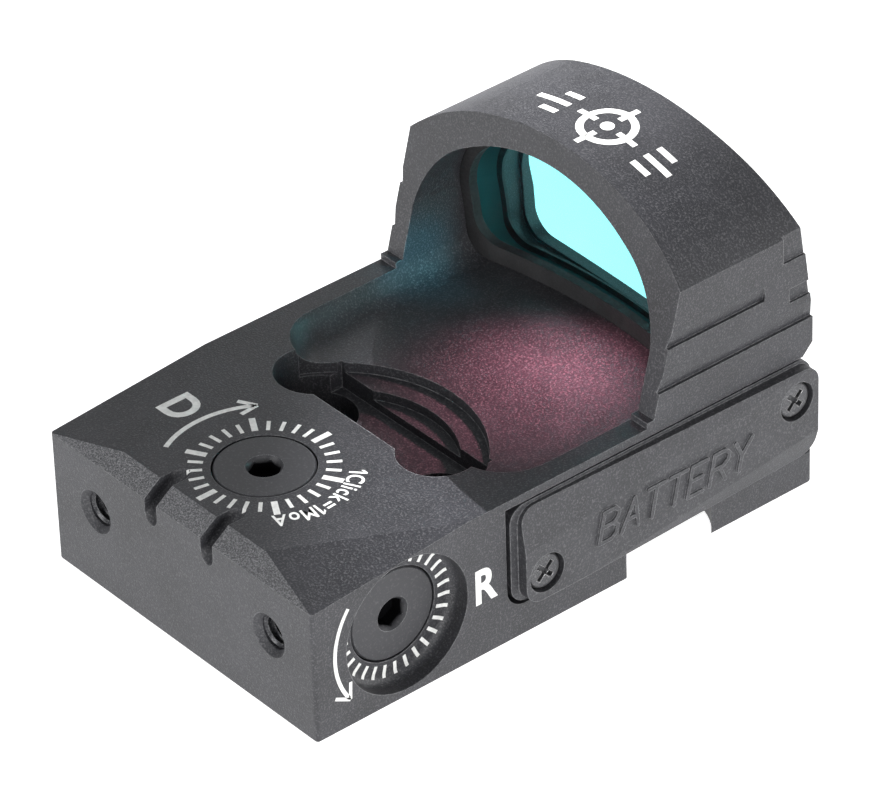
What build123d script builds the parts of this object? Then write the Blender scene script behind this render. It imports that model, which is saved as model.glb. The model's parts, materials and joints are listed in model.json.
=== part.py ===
"""Open red dot finder: arched aluminium housing, tilted dichroic lens, two click dials that
steer a small emitter stage, a side battery tray and two brightness buttons.
Millimetres, +Z up, +Y towards the target, origin at the centre of the base plane."""
import os
from math import atan2, cos, degrees, radians, sin, sqrt

from build123d import *

os.makedirs("parts", exist_ok=True)

# ---------------------------------------------------------------- housing, overall
width = 28.0
length = 44.1
deck_z = 11.5
half_w = width / 2
rear = -length / 2
front = length / 2
corner_r = 0.3
foot_edge_r = 0.2

# ---------------------------------------------------------------- hood
hood_foot_y = rear + 29.55      # where the hood starts on the rails
hood_lean = 0.264               # forward lean of the rear arch, mm per mm of height
front_lean = 0.135              # backward lean of the front edge above front_lean_z
front_lean_z = 14.0
hood_top_z = 26.0
outer_knee_x = 9.0
outer_knee_z = 24.35
outer_bend_x = 11.7
outer_bend_z = 22.95
shoulder_z = 21.15
bore_half = 12.36               # half width of the view opening
bore_spring_z = 16.0
bore_knee_x = 8.2
bore_knee_z = 22.0
bore_bend_x = 10.9
bore_bend_z = 19.75
bore_top_z = 24.15
lip_step = 0.3
hood_root = 3.0                 # how far the hood block reaches down into the base
land_height = 0.45              # small land at the foot of each hood post
land_depth = 0.5

# side grip nicks: (top of slope, ledge height, end distance from the front)
nick_depth = 0.28
side_nicks = [(18.15, 17.0, 4.4), (15.2, 13.8, -1.0)]
front_nicks = [(19.2, 21.4, 2.7), (15.8, 16.95, 2.15)]

# ---------------------------------------------------------------- top surfaces
floor_z = 9.9                   # floor between the rails
trough_rear = rear + 17.4
trough_corner_r = 4.0
trough_root_r = 2.0
chamfer_run = 1.45              # rear top chamfer
chamfer_drop = 1.05
facet_front_y = rear + 13.4     # corner facets run out here on the sides
facet_inner_x = 7.6
groove_x = 3.0                  # two sloping grooves over the rear chamfer
groove_r = 0.65
groove_low_z = 8.6
groove_run = 3.4

# ---------------------------------------------------------------- emitter recess
recess_rear = rear + 15.1
recess_arc_y = rear + 12.8
recess_arc_r = 10.86
arc_rear = rear + 17.8
ledge_z = 9.1
step_arc_y = rear + 13.45
step_arc_r = 8.44
step_z = 8.35
pit_z = 7.7
pit_front = rear + 20.5
pit_half = 8.0
mount_x = 6.5                   # vertical mounting screws in the two lobes
mount_y = rear + 17.0
mount_r = 1.65
mount_head_r = 2.88
mount_seat_z = 5.2

# ---------------------------------------------------------------- rear threaded holes
rear_hole_x = 9.32
rear_hole_z = 6.33
rear_hole_r = 1.25
rear_mouth_r = 1.66
rear_hole_depth = 3.8

# ---------------------------------------------------------------- underside relief
relief_y = rear + 30.9
relief_half = 3.85
relief_z = 2.6
relief_x = 9.9
relief_r = sqrt(relief_half ** 2 + (half_w - relief_x) ** 2)

# ---------------------------------------------------------------- click dials
dial_r = 3.5
dial_gap = 0.1
dial_thick = 1.3
dial_pocket = 1.6
web = 1.5                       # wall that each dial turns in
neck_r = 1.95
neck_gap = 0.05
neck_length = 2.45
screw_r = 1.25
thread_gap = 0.02
hex_flats = 2.0
hex_depth = 1.3
hex_mouth_r = 1.3
click_count = 30
click_r = 2.85
click_groove = 0.12
ring_groove_r = 1.46
ring_groove_top = 2.0
ring_groove_w = 0.66
ring_section = 0.25
clip_groove_r = 1.5
clip_top = 3.2
clip_thick = 0.3
clip_outer_r = 2.55
elev_y = rear + 7.4
elev_length = 5.3
wind_y = rear + 7.93
wind_z = 5.83
wind_face_x = 12.45
wind_length = 4.4
wind_well_r = 5.19              # wide well that carries the windage scale
well_root_r = 0.7

# ---------------------------------------------------------------- adjustment chamber
chamber_left = -8.6
chamber_right = wind_face_x - dial_pocket - web
chamber_rear = rear + 4.5
chamber_front = rear + 13.3
chamber_top = deck_z - dial_pocket - web
channel_half = 2.8
channel_top = 10.6
channel_y = rear + 11.8
channel_low = 4.3
rod_r = 0.75
rod_gap = 0.02
rod_y = rear + 12.1
rod_z = 3.3
rod_seat = 0.9
slide_gap = 0.06

# ---------------------------------------------------------------- board bay
bay_left = -12.6
bay_right = -9.9
bay_rear = rear + 4.5
bay_front = rear + 24.8
bay_top = 9.0
board_x = -10.4                 # right face of the board
board_thick = 0.8
board_gap = 0.25

# ---------------------------------------------------------------- bottom cover
cover_x0 = -13.1
cover_x1 = 11.2
cover_y0 = rear + 2.2
cover_y1 = rear + 25.6
cover_thick = 1.0
cover_gap = 0.08
cover_corner_r = 1.2
gasket_thick = 0.3
gasket_w = 0.75
cover_screws = [(-11.4, rear + 3.9), (9.5, rear + 3.9), (-8.0, rear + 23.8), (9.5, rear + 23.8)]
cover_screw_r = 0.8
cover_head_r = 1.5
cover_head_h = 0.75
cover_screw_length = 2.7

# ---------------------------------------------------------------- battery tray
pocket_rear = rear + 16.5
pocket_floor_x = 12.6
pocket_low = relief_z
pocket_top = 10.85
pocket_corner_r = 1.6
tray_face_x = 14.75
tray_rear = rear + 17.6
tray_front = front - 0.1
tray_low = 2.75
tray_top = 10.35
tray_corner_r = 1.3
flange_rear = rear + 16.95
flange_x = 13.9
flange_in = 12.9
flange_top = 10.6
cell_r = 10.0
cell_h = 3.2
cell_x = 1.6
cell_y = rear + 30.7
cell_z = 3.75
cell_gap = 0.06
cell_bay_left = -9.2
cell_bay_half = 10.25
cell_bay_low = 3.3
cell_bay_top = 7.2
cradle_floor = 0.4
cradle_left = -6.2
cradle_half = 10.15
cradle_top = 6.6
tray_screws = [(rear + 19.4, 4.8), (rear + 42.0, 8.05)]
tray_screw_r = 0.7
tray_screw_length = 4.2
tray_head_r = 1.35
tray_head_h = 0.7
tray_well_r = 1.5
tray_well = 0.95
word_y = rear + 23.9            # raised word on the tray, letters made of round-ended strokes
word_z = 4.95
word_h = 2.35
word_pitch = 1.98
word_slant = 0.22
word_stroke = 0.3
word_raise = 0.16
letter_strokes = {
    "B": ((0, 0, 0, 1), (0, 1, 0.42, 1), (0.42, 1, 0.58, 0.86), (0.58, 0.86, 0.58, 0.66), (0.58, 0.66, 0.42, 0.52),
          (0.42, 0.52, 0, 0.52), (0.42, 0.52, 0.62, 0.38), (0.62, 0.38, 0.62, 0.15), (0.62, 0.15, 0.45, 0),
          (0.45, 0, 0, 0)),
    "A": ((0, 0, 0.32, 1), (0.32, 1, 0.64, 0), (0.12, 0.36, 0.52, 0.36)),
    "T": ((0, 1, 0.64, 1), (0.32, 1, 0.32, 0)),
    "E": ((0, 0, 0, 1), (0, 1, 0.58, 1), (0, 0.52, 0.48, 0.52), (0, 0, 0.58, 0)),
    "R": ((0, 0, 0, 1), (0, 1, 0.42, 1), (0.42, 1, 0.6, 0.85), (0.6, 0.85, 0.6, 0.65), (0.6, 0.65, 0.42, 0.5),
          (0.42, 0.5, 0, 0.5), (0.3, 0.5, 0.62, 0)),
    "Y": ((0, 1, 0.32, 0.5), (0.64, 1, 0.32, 0.5), (0.32, 0.5, 0.32, 0)),
}

# ---------------------------------------------------------------- buttons (left side)
button_y = [rear + 8.0, rear + 16.6]
button_z = 7.2
button_r = 3.6
button_gap = 0.08
button_out = 0.5
button_thick = 0.95
button_pocket = 1.0
button_pocket_x = -half_w + button_pocket
stem_r = 1.3
stem_gap = 0.06
switch_gap = 0.02
switch_size = 3.2
switch_h = 0.55
dome_r = 1.0
dome_h = 0.35

# ---------------------------------------------------------------- lens
lens_tilt = 10.0
lens_y = rear + 37.2            # vertex of the reflecting face
lens_z = 17.0
mirror_r = 48.0                 # concave face towards the emitter
lens_thick = 4.4
lens_gap = 0.04
seal_side = 0.8
seal_thick = 0.7
seal_bottom = 1.5
bed_side = 0.5
bed_thick = 0.25
bed_bottom = 0.6
lip_room = 1.3                  # from the front vertex of the glass to the front lip that stops it
lip_y = lens_y + lens_thick + lip_room

label_list = []


def save(builder, name):
    """Name the finished piece and write it out."""
    part = builder.part if hasattr(builder, "part") else builder
    part.label = name
    label_list.append(name)
    export_step(part, f"parts/{name}.step")


def span(x0, x1, y0, y1, z0, z1, mode=Mode.ADD):
    """A block between two limits on each axis, inside the current BuildPart."""
    with Locations(((x0 + x1) / 2, (y0 + y1) / 2, (z0 + z1) / 2)):
        Box(abs(x1 - x0), abs(y1 - y0), abs(z1 - z0), mode=mode)


def post(x, y, z0, z1, r, mode=Mode.ADD):
    """A vertical cylinder from z0 to z1."""
    with Locations((x, y, (z0 + z1) / 2)):
        Cylinder(r, z1 - z0, mode=mode)


def bar(x0, x1, y, z, r, mode=Mode.ADD):
    """A cylinder along X from x0 to x1."""
    with Locations(Location(((x0 + x1) / 2, y, z), (0, 90, 0))):
        Cylinder(r, abs(x1 - x0), mode=mode)


def opening_outline(shrink, low_z, root_r):
    """View opening of the hood, drawn in the XZ plane: flat floor, straight sides, arched top."""
    half = bore_half - shrink
    knee = (bore_knee_x - shrink * 0.5, bore_knee_z - shrink * 0.85)
    bend = (bore_bend_x - shrink * 0.8, bore_bend_z - shrink * 0.6)
    with BuildLine() as outline:
        ThreePointArc((-knee[0], knee[1]), (0, bore_top_z - shrink), knee)
        ThreePointArc(knee, bend, (half, bore_spring_z))
        Line((half, bore_spring_z), (half, low_z + root_r))
        RadiusArc((half, low_z + root_r), (half - root_r, low_z), root_r)
        Line((half - root_r, low_z), (-half + root_r, low_z))
        RadiusArc((-half + root_r, low_z), (-half, low_z + root_r), root_r)
        Line((-half, low_z + root_r), (-half, bore_spring_z))
        ThreePointArc((-half, bore_spring_z), (-bend[0], bend[1]), (-knee[0], knee[1]))
    make_face(outline.edges())


def hood_outline():
    """Outside of the hood in the XZ plane, from inside the base block to the crown."""
    low = deck_z - hood_root
    with BuildLine() as outline:
        ThreePointArc((-outer_knee_x, outer_knee_z), (0, hood_top_z), (outer_knee_x, outer_knee_z))
        ThreePointArc((outer_knee_x, outer_knee_z), (outer_bend_x, outer_bend_z), (half_w, shoulder_z))
        Line((half_w, shoulder_z), (half_w, low))
        Line((half_w, low), (-half_w, low))
        Line((-half_w, low), (-half_w, shoulder_z))
        ThreePointArc((-half_w, shoulder_z), (-outer_bend_x, outer_bend_z), (-outer_knee_x, outer_knee_z))
    make_face(outline.edges())


def side_cut(points, x0, x1):
    """Remove a polygon drawn in the YZ plane between two X limits, on the current part."""
    with BuildSketch(Plane.YZ.offset(x0)) as profile:
        with BuildLine() as outline:
            Polyline(*points, close=True)
        make_face(outline.edges())
    extrude(profile.sketch, amount=x1 - x0, mode=Mode.SUBTRACT)


# ================================================================ housing
# hollow between the rails, with rounded rear corners and a rounded root
with BuildPart() as trough:
    with BuildSketch(Plane.XY.offset(floor_z)) as trough_plan:
        with Locations((0, (trough_rear + lip_y) / 2)):
            Rectangle(2 * bore_half, lip_y - trough_rear)
        fillet(trough_plan.vertices().group_by(Axis.Y)[0], trough_corner_r)
    extrude(amount=bore_spring_z - floor_z - 1)
    fillet(trough.faces().sort_by(Axis.Z)[0].edges(), trough_root_r)

# wide shallow well around the windage dial
with BuildPart() as well:
    with BuildSketch(Plane.YZ.offset(wind_face_x)):
        with Locations((wind_y, wind_z)):
            Circle(wind_well_r)
    extrude(amount=half_w + 2 - wind_face_x)
    fillet(well.faces().sort_by(Axis.X)[0].edges(), well_root_r)

with BuildPart() as housing:
    with BuildSketch():
        Rectangle(width, length)
    extrude(amount=deck_z)
    fillet(housing.edges().filter_by(Axis.Z), corner_r)
    fillet(housing.faces().sort_by(Axis.Z)[0].edges(), foot_edge_r)
    # sloping chamfer along the rear top edge
    side_cut([(rear - 1, deck_z + 1), (rear - 1, deck_z - chamfer_drop), (rear, deck_z - chamfer_drop),
              (rear + chamfer_run, deck_z), (rear + chamfer_run, deck_z + 1)], -half_w - 1, half_w + 1)
    # corner facets: one sloping plane per side
    for side in (-1, 1):
        low_corner = Vector(side * half_w, rear, deck_z - chamfer_drop)
        along = Vector(side * half_w, facet_front_y, deck_z) - low_corner
        across = Vector(side * facet_inner_x, rear + chamfer_run, deck_z) - low_corner
        normal = along.cross(across) * side
        split(bisect_by=Plane(origin=low_corner, x_dir=along, z_dir=normal), keep=Keep.BOTTOM)
    # hood block
    with BuildSketch(Plane.XZ.offset(-front)):
        hood_outline()
    extrude(amount=front - hood_foot_y)
    lean_run = hood_lean * (hood_top_z + 1 - deck_z)
    side_cut([(hood_foot_y - 1, deck_z), (hood_foot_y, deck_z), (hood_foot_y + lean_run, hood_top_z + 1),
              (hood_foot_y - 1, hood_top_z + 1)], -half_w - 1, half_w + 1)
    front_run = front_lean * (hood_top_z + 1 - front_lean_z)
    side_cut([(front + 1, front_lean_z), (front, front_lean_z), (front - front_run, hood_top_z + 1),
              (front + 1, hood_top_z + 1)], -half_w - 1, half_w + 1)
    # small lands at the feet of the hood posts
    for side in (-1, 1):
        span(side * (bore_half - 0.2), side * half_w, hood_foot_y - land_depth, hood_foot_y + 1,
             deck_z - 0.3, deck_z + land_height)
    # trough between the rails, running into the view opening
    add(trough.part, mode=Mode.SUBTRACT)
    # view opening, and the smaller front lip
    with BuildSketch(Plane.XZ.offset(-lip_y)):
        opening_outline(0, floor_z, trough_root_r)
    extrude(amount=lip_y - hood_foot_y + 2, mode=Mode.SUBTRACT)
    with BuildSketch(Plane.XZ.offset(-front - 1)):
        opening_outline(lip_step, floor_z + lip_step, trough_root_r)
    extrude(amount=front + 1 - lip_y, mode=Mode.SUBTRACT)
    # grip nicks along both hood sides
    for side in (-1, 1):
        for slope_z, ledge_z_side, end_gap in side_nicks:
            with BuildSketch(Plane.XZ.offset(-(front - end_gap))):
                with BuildLine():
                    Polyline((side * half_w, slope_z), (side * (half_w - nick_depth), ledge_z_side),
                             (side * (half_w + 1), ledge_z_side), (side * (half_w + 1), slope_z), close=True)
                make_face()
            extrude(amount=length, mode=Mode.SUBTRACT)
        for low, high, run in front_nicks:
            span(side * (half_w - nick_depth * 0.7), side * (half_w + 1), front - run, front + 1, low, high,
                 mode=Mode.SUBTRACT)
    # two sloping round-bottomed grooves over the rear chamfer
    groove_dir = Vector(0, groove_run, deck_z - groove_low_z).normalized()
    groove_up = Vector(0, -groove_dir.Z, groove_dir.Y)
    for side in (-1, 1):
        start = Vector(side * groove_x, rear, groove_low_z) + groove_up * groove_r
        middle = start + groove_dir * (groove_run / 2)
        with Locations(Plane(origin=middle, x_dir=(1, 0, 0), z_dir=groove_dir).location):
            Cylinder(groove_r, 3 * groove_run, mode=Mode.SUBTRACT)
            with Locations((0, -groove_r * 2, 0)):
                Box(2 * groove_r, groove_r * 4, 3 * groove_run, mode=Mode.SUBTRACT)
    # emitter recess: stepped arcs in front, a straight rear edge, a deep pit behind
    cut_top = deck_z + 1
    for arc_y, arc_r, low in ((recess_arc_y, recess_arc_r, ledge_z), (step_arc_y, step_arc_r, step_z)):
        with BuildSketch(Plane.XY.offset(low)):
            with Locations((0, arc_y)):
                Circle(arc_r)
            with Locations((0, arc_rear - length)):
                Rectangle(2 * length, 2 * length, mode=Mode.SUBTRACT)
        extrude(amount=cut_top - low, mode=Mode.SUBTRACT)
    span(-pit_half, pit_half, recess_rear, pit_front, pit_z, cut_top, mode=Mode.SUBTRACT)
    # vertical mounting screws in the two lobes
    for side in (-1, 1):
        post(side * mount_x, mount_y, mount_seat_z, cut_top, mount_head_r, mode=Mode.SUBTRACT)
        post(side * mount_x, mount_y, -1, cut_top, mount_r, mode=Mode.SUBTRACT)
    # threaded holes in the rear face
    for side in (-1, 1):
        with Locations(Location((side * rear_hole_x, rear, rear_hole_z), (90, 0, 0))):
            CounterSinkHole(rear_hole_r, rear_mouth_r, rear_hole_depth)
    # underside relief across the base, round-ended towards both sides
    with BuildSketch():
        with Locations((relief_x, relief_y), (-relief_x, relief_y)):
            Circle(relief_r)
        with Locations((0, relief_y)):
            Rectangle(2 * relief_x, 2 * relief_half)
    extrude(amount=relief_z, mode=Mode.SUBTRACT)
    # elevation dial seat
    post(0, elev_y, deck_z - dial_pocket, cut_top, dial_r + dial_gap, mode=Mode.SUBTRACT)
    post(0, elev_y, chamber_top - 1, deck_z - 1, neck_r + neck_gap, mode=Mode.SUBTRACT)
    # windage dial seat and its wide scale well
    add(well.part, mode=Mode.SUBTRACT)
    bar(wind_face_x - dial_pocket, wind_face_x + 1, wind_y, wind_z, dial_r + dial_gap, mode=Mode.SUBTRACT)
    bar(chamber_right - 1, wind_face_x - 1, wind_y, wind_z, neck_r + neck_gap, mode=Mode.SUBTRACT)
    # adjustment chamber, its upper channel and the window into the recess
    shelf_z = cover_thick + gasket_thick
    span(chamber_left, chamber_right, chamber_rear, chamber_front, shelf_z, chamber_top, mode=Mode.SUBTRACT)
    span(-channel_half, channel_half, channel_y, recess_rear + 0.1, channel_low + 3.4, channel_top,
         mode=Mode.SUBTRACT)
    span(-channel_half, channel_half, chamber_front - 0.1, recess_rear, channel_low, channel_top,
         mode=Mode.SUBTRACT)
    # guide rod saddles, open from below
    span(chamber_left - rod_seat, chamber_right + rod_seat, rod_y - rod_r - rod_gap, rod_y + rod_r + rod_gap,
         shelf_z, rod_z, mode=Mode.SUBTRACT)
    bar(chamber_left - rod_seat, chamber_right + rod_seat, rod_y, rod_z, rod_r + rod_gap, mode=Mode.SUBTRACT)
    # board bay beside the chamber, with a wire gate between them
    span(bay_left, bay_right, bay_rear, bay_front, shelf_z, bay_top, mode=Mode.SUBTRACT)
    span(bay_right - 0.1, chamber_left + 0.1, bay_rear, bay_rear + 3.0, shelf_z, 4.0, mode=Mode.SUBTRACT)
    # cover recess, relief above the seal strip, and screw holes
    with BuildSketch():
        with Locations(((cover_x0 + cover_x1) / 2, (cover_y0 + cover_y1) / 2)):
            RectangleRounded(cover_x1 - cover_x0, cover_y1 - cover_y0, cover_corner_r)
    extrude(amount=shelf_z, mode=Mode.SUBTRACT)
    for x, y in cover_screws:
        post(x, y, 0, cover_screw_length + 0.15, cover_screw_r + thread_gap, mode=Mode.SUBTRACT)
    # battery bay and the outer pocket for the tray
    span(cell_bay_left, pocket_floor_x + 0.1, cell_y - cell_bay_half, cell_y + cell_bay_half,
         cell_bay_low, cell_bay_top, mode=Mode.SUBTRACT)
    span(bay_right - 0.1, cell_bay_left + 0.1, cell_y - cell_bay_half, bay_front, cell_bay_low, cell_bay_top,
         mode=Mode.SUBTRACT)
    with BuildSketch(Plane.YZ.offset(pocket_floor_x)) as pocket_plan:
        with BuildLine():
            Polyline((pocket_rear, pocket_low), (front + 1, pocket_low), (front + 1, pocket_top + 1.9),
                     (front - 0.9, pocket_top), (pocket_rear, pocket_top), close=True)
        make_face()
        fillet(pocket_plan.vertices().group_by(Axis.Y)[0], pocket_corner_r)
    extrude(amount=half_w + 1 - pocket_floor_x, mode=Mode.SUBTRACT)
    for y, z in tray_screws:
        bar(tray_face_x - tray_well - tray_screw_length - 0.2, half_w, y, z, tray_screw_r + thread_gap,
            mode=Mode.SUBTRACT)
    # button pockets on the left
    for y in button_y:
        bar(-half_w - 1, button_pocket_x, y, button_z, button_r + button_gap, mode=Mode.SUBTRACT)
        bar(button_pocket_x - 0.5, bay_left + 0.5, y, button_z, stem_r + stem_gap, mode=Mode.SUBTRACT)
save(housing, "housing")


# ================================================================ lens and its seals
tilt = radians(lens_tilt)
mirror_centre = (0, lens_y - mirror_r * cos(tilt), lens_z - mirror_r * sin(tilt))


def shell_slice(inner_r, outer_r, shrink, bottom, root_r, window=None):
    """Plug of the view opening between two spheres about the mirror's centre.
    window, when given, is the (shrink, bottom) of a clear opening left through it."""
    with BuildPart() as piece:
        with BuildSketch(Plane.XZ.offset(-lip_y - 2)):
            opening_outline(shrink, bottom, root_r)
        extrude(amount=lip_y + 2 - hood_foot_y)
        if window:
            with BuildSketch(Plane.XZ.offset(-lip_y - 2)):
                opening_outline(window[0], window[1], root_r)
            extrude(amount=lip_y + 2 - hood_foot_y, mode=Mode.SUBTRACT)
        with Locations(mirror_centre):
            Sphere(outer_r, mode=Mode.INTERSECT)
            Sphere(inner_r, mode=Mode.SUBTRACT)
    return piece


lens = shell_slice(mirror_r, mirror_r + lens_thick, lens_gap, floor_z + lens_gap, trough_root_r)
save(lens, "lens")
seal_window = (seal_side, floor_z + seal_bottom)
lens_seal = shell_slice(mirror_r - seal_thick, mirror_r, lens_gap, floor_z + lens_gap, trough_root_r, seal_window)
save(lens_seal, "lens_seal")
front_in = mirror_r + lens_thick
bed_window = (bed_side, floor_z + bed_bottom)
lens_bed = shell_slice(front_in, front_in + bed_thick, lens_gap, floor_z + lens_gap, trough_root_r, bed_window)
save(lens_bed, "lens_bed")


# ================================================================ click dials
def make_dial(thread_length):
    """Dial with its neck and screw; face at z = 0 looking up, everything else below."""
    with BuildPart() as dial:
        post(0, 0, -dial_thick, 0, dial_r)
        post(0, 0, -dial_thick - neck_length, -dial_thick, neck_r)
        post(0, 0, -dial_thick - neck_length - thread_length, -dial_thick - neck_length, screw_r)
        chamfer(dial.faces().sort_by(Axis.Z)[-1].edges(), 0.12)
        # seal groove and clip groove on the neck
        for top, depth, groove_r_in in ((ring_groove_top, ring_groove_w, ring_groove_r),
                                        (clip_top, clip_thick + 0.06, clip_groove_r)):
            with Locations((0, 0, -top - depth / 2)):
                Cylinder(neck_r + 1, depth, mode=Mode.SUBTRACT)
                Cylinder(groove_r_in, depth)
        # key socket with a countersunk mouth
        with BuildSketch():
            RegularPolygon(hex_flats / 2, 6, major_radius=False)
        extrude(amount=-hex_depth, mode=Mode.SUBTRACT)
        with Locations((0, 0, -0.2)):
            Cone(hex_flats / 2, hex_mouth_r, 0.4, mode=Mode.SUBTRACT)
        # click grooves under the rim
        with PolarLocations(click_r, click_count):
            with Locations((0, 0, -dial_thick + click_groove / 2)):
                Box(0.8, 0.22, click_groove, mode=Mode.SUBTRACT)
    return dial.part


def make_seal_ring():
    """O-ring in the neck groove."""
    with BuildPart() as ring:
        with Locations((0, 0, -ring_groove_top - ring_groove_w / 2)):
            Torus(ring_groove_r + ring_section + 0.01, ring_section)
    return ring.part


def make_clip():
    """Open retaining clip behind the web."""
    with BuildPart() as clip:
        post(0, 0, -clip_top - clip_thick - 0.03, -clip_top - 0.03, clip_outer_r)
        post(0, 0, -clip_top - 1, -clip_top + 1, clip_groove_r + 0.02, mode=Mode.SUBTRACT)
        span(0, clip_outer_r + 1, -1.1, 1.1, -clip_top - 1, -clip_top + 1, mode=Mode.SUBTRACT)
    return clip.part


def make_click_spring():
    """Flat ring on the seat floor with a raised nose that rides in the click grooves."""
    low = -dial_pocket
    with BuildPart() as spring:
        post(0, 0, low, low + 0.12, dial_r - 0.25)
        post(0, 0, low - 1, low + 1, neck_r + 0.3, mode=Mode.SUBTRACT)
        for side in (-1, 1):
            with Locations((side * click_r, 0, low + 0.18)):
                Box(0.5, 0.3, 0.16)
    return spring.part


elev_place = Location((0, elev_y, deck_z))
wind_place = Location((wind_face_x, wind_y, wind_z), (0, 90, 0))
dial_sets = (("elevation", elev_place, elev_length), ("windage", wind_place, wind_length))
for title, place, thread_length in dial_sets:
    save(make_dial(thread_length).moved(place), f"{title}_dial")
    save(make_seal_ring().moved(place), f"{title}_o_ring")
    save(make_clip().moved(place), f"{title}_clip")
    save(make_click_spring().moved(place), f"{title}_click_spring")

# ================================================================ emitter stage
nut_half = 3.0
nut_low = 4.4
nut_high = 6.8
nut_front = rear + 10.3
key_half = 1.2
key_front = rear + 11.7
key_low = 5.4
key_high = 6.4
with BuildPart() as elevation_nut:
    span(-nut_half, nut_half, chamber_rear + slide_gap, nut_front, nut_low, nut_high)
    fillet(elevation_nut.edges().filter_by(Axis.Z), 0.4)
    span(-key_half, key_half, nut_front - 0.5, key_front, key_low, key_high)
    post(0, elev_y, nut_low - 1, nut_high + 1, screw_r + thread_gap, mode=Mode.SUBTRACT)
save(elevation_nut, "elevation_nut")

block_half = 2.2
block_rear = rear + 10.9
block_front = rear + 14.8
block_low = 5.0
block_mid = 7.8
block_high = 9.9
head_rear = rear + 12.2
rib_half = 2.6
rib_y0 = rear + 11.9
rib_y1 = rear + 12.5
led_z = 9.0
aim = radians(2 * lens_tilt)
aim_plane = Plane(origin=(0, block_front - 0.05, led_z), x_dir=(1, 0, 0), z_dir=(0, cos(aim), sin(aim)))
with BuildPart() as emitter_block:
    span(-block_half, block_half, block_rear, block_front, block_low, block_mid)
    span(-block_half, block_half, head_rear, block_front, block_mid - 0.5, block_high)
    span(-rib_half, rib_half, rib_y0, rib_y1, block_low + 0.2, block_mid - 0.3)
    # groove for the key of the elevation nut
    span(-block_half - 1, block_half + 1, block_rear - 1, key_front + 0.1, key_low - 0.03, key_high + 0.03,
         mode=Mode.SUBTRACT)
    # sloping front with a pocket for the window and the diode
    with Locations(aim_plane.location):
        Box(20, 20, 6, align=(Align.CENTER, Align.CENTER, Align.MIN), mode=Mode.SUBTRACT)
        Box(2.6, 1.5, 1.2, mode=Mode.SUBTRACT)
save(emitter_block, "emitter_block")
with BuildPart() as emitter_diode:
    with Locations(aim_plane.location):
        with Locations((0, 0, -0.45)):
            Box(1.0, 0.8, 0.3)
        with Locations((0, 0, -0.28)):
            Cylinder(0.25, 0.1)
save(emitter_diode, "emitter_diode")
with BuildPart() as emitter_window:
    with Locations(aim_plane.location):
        with Locations((0, 0, -0.12)):
            Box(2.52, 1.42, 0.2)
save(emitter_window, "emitter_window")

carriage_x0 = -7.2
carriage_x1 = 8.2
beam_y0 = rear + 11.0
beam_y1 = rear + 13.2
beam_low = 2.4
beam_high = 8.0
lug_x0 = 4.4
lug_y0 = rear + 5.7
lug_low = 3.9
lug_high = 7.8
with BuildPart() as windage_carriage:
    span(carriage_x0, carriage_x1, beam_y0, beam_y1, beam_low, beam_high)
    span(lug_x0, carriage_x1, lug_y0, beam_y0 + 0.5, lug_low, lug_high)
    fillet(windage_carriage.edges().filter_by(Axis.Z).group_by(Axis.X)[-1], 0.5)
    # slot and rib grooves that guide the emitter block up and down
    span(-block_half - slide_gap, block_half + slide_gap, beam_y0 - 1, beam_y1 + 1, block_low - 0.5,
         beam_high + 1, mode=Mode.SUBTRACT)
    span(-rib_half - slide_gap, rib_half + slide_gap, rib_y0 - slide_gap, rib_y1 + slide_gap,
         block_low - 0.5, beam_high + 1, mode=Mode.SUBTRACT)
    bar(carriage_x0 - 1, carriage_x1 + 1, rod_y, rod_z, rod_r + 0.03, mode=Mode.SUBTRACT)
    bar(lug_x0 - 1, carriage_x1 + 1, wind_y, wind_z, screw_r + thread_gap, mode=Mode.SUBTRACT)
save(windage_carriage, "windage_carriage")

with BuildPart() as guide_rod:
    bar(chamber_left - rod_seat + 0.1, chamber_right + rod_seat - 0.1, rod_y, rod_z, rod_r)
save(guide_rod, "guide_rod")

# coil springs that take up the play of both screws
coil_wire = 0.14
with BuildPart() as carriage_spring:
    coil_left = chamber_left + coil_wire
    coil_run = carriage_x0 - chamber_left - 2 * coil_wire
    with BuildLine() as side_coil:
        Helix(coil_run / 3, coil_run, 0.9, center=(coil_left, beam_y0 + 1.1, 6.0), direction=(1, 0, 0))
    with BuildSketch(Plane(origin=side_coil.line @ 0, z_dir=side_coil.line % 0)):
        Circle(coil_wire)
    sweep(path=side_coil.line)
save(carriage_spring, "carriage_spring")
with BuildPart() as lift_spring:
    lift_low = cover_thick + coil_wire
    lift_run = nut_low - cover_thick - 2 * coil_wire
    with BuildLine(Plane.XY.offset(lift_low)) as lift_coil:
        Helix(lift_run / 4, lift_run, 1.8, center=(0, elev_y, 0))
    with BuildSketch(Plane(origin=lift_coil.line @ 0, z_dir=lift_coil.line % 0)):
        Circle(coil_wire)
    sweep(path=lift_coil.line)
save(lift_spring, "lift_spring")

# ================================================================ board, switches, buttons
board_front = rear + 24.4
board_low = 1.7
board_high = 8.8
board_back_x = board_x - board_thick
with BuildPart() as circuit_board:
    span(board_back_x, board_x, bay_rear + board_gap, board_front, board_low, board_high)
save(circuit_board, "circuit_board")
chips = [(rear + 6.6, 6.9, 2.6, 2.6, 0.45), (rear + 21.0, 2.9, 1.6, 1.6, 0.3),
         (rear + 10.4, 5.8, 1.2, 2.0, 0.4), (rear + 13.6, 7.2, 0.8, 1.6, 0.35),
         (rear + 15.4, 7.2, 0.8, 1.6, 0.35)]
with BuildPart() as board_chips:
    for y, z, size_y, size_z, high in chips:
        span(board_x, board_x + high, y - size_y / 2, y + size_y / 2, z - size_z / 2, z + size_z / 2)
save(board_chips, "board_chips")
with BuildPart() as switch_bodies:
    for y in button_y:
        with Locations((board_back_x - switch_h / 2, y, button_z)):
            Box(switch_h, switch_size, switch_size - 0.2)
save(switch_bodies, "switch_bodies")
switch_top_x = board_back_x - switch_h
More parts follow.
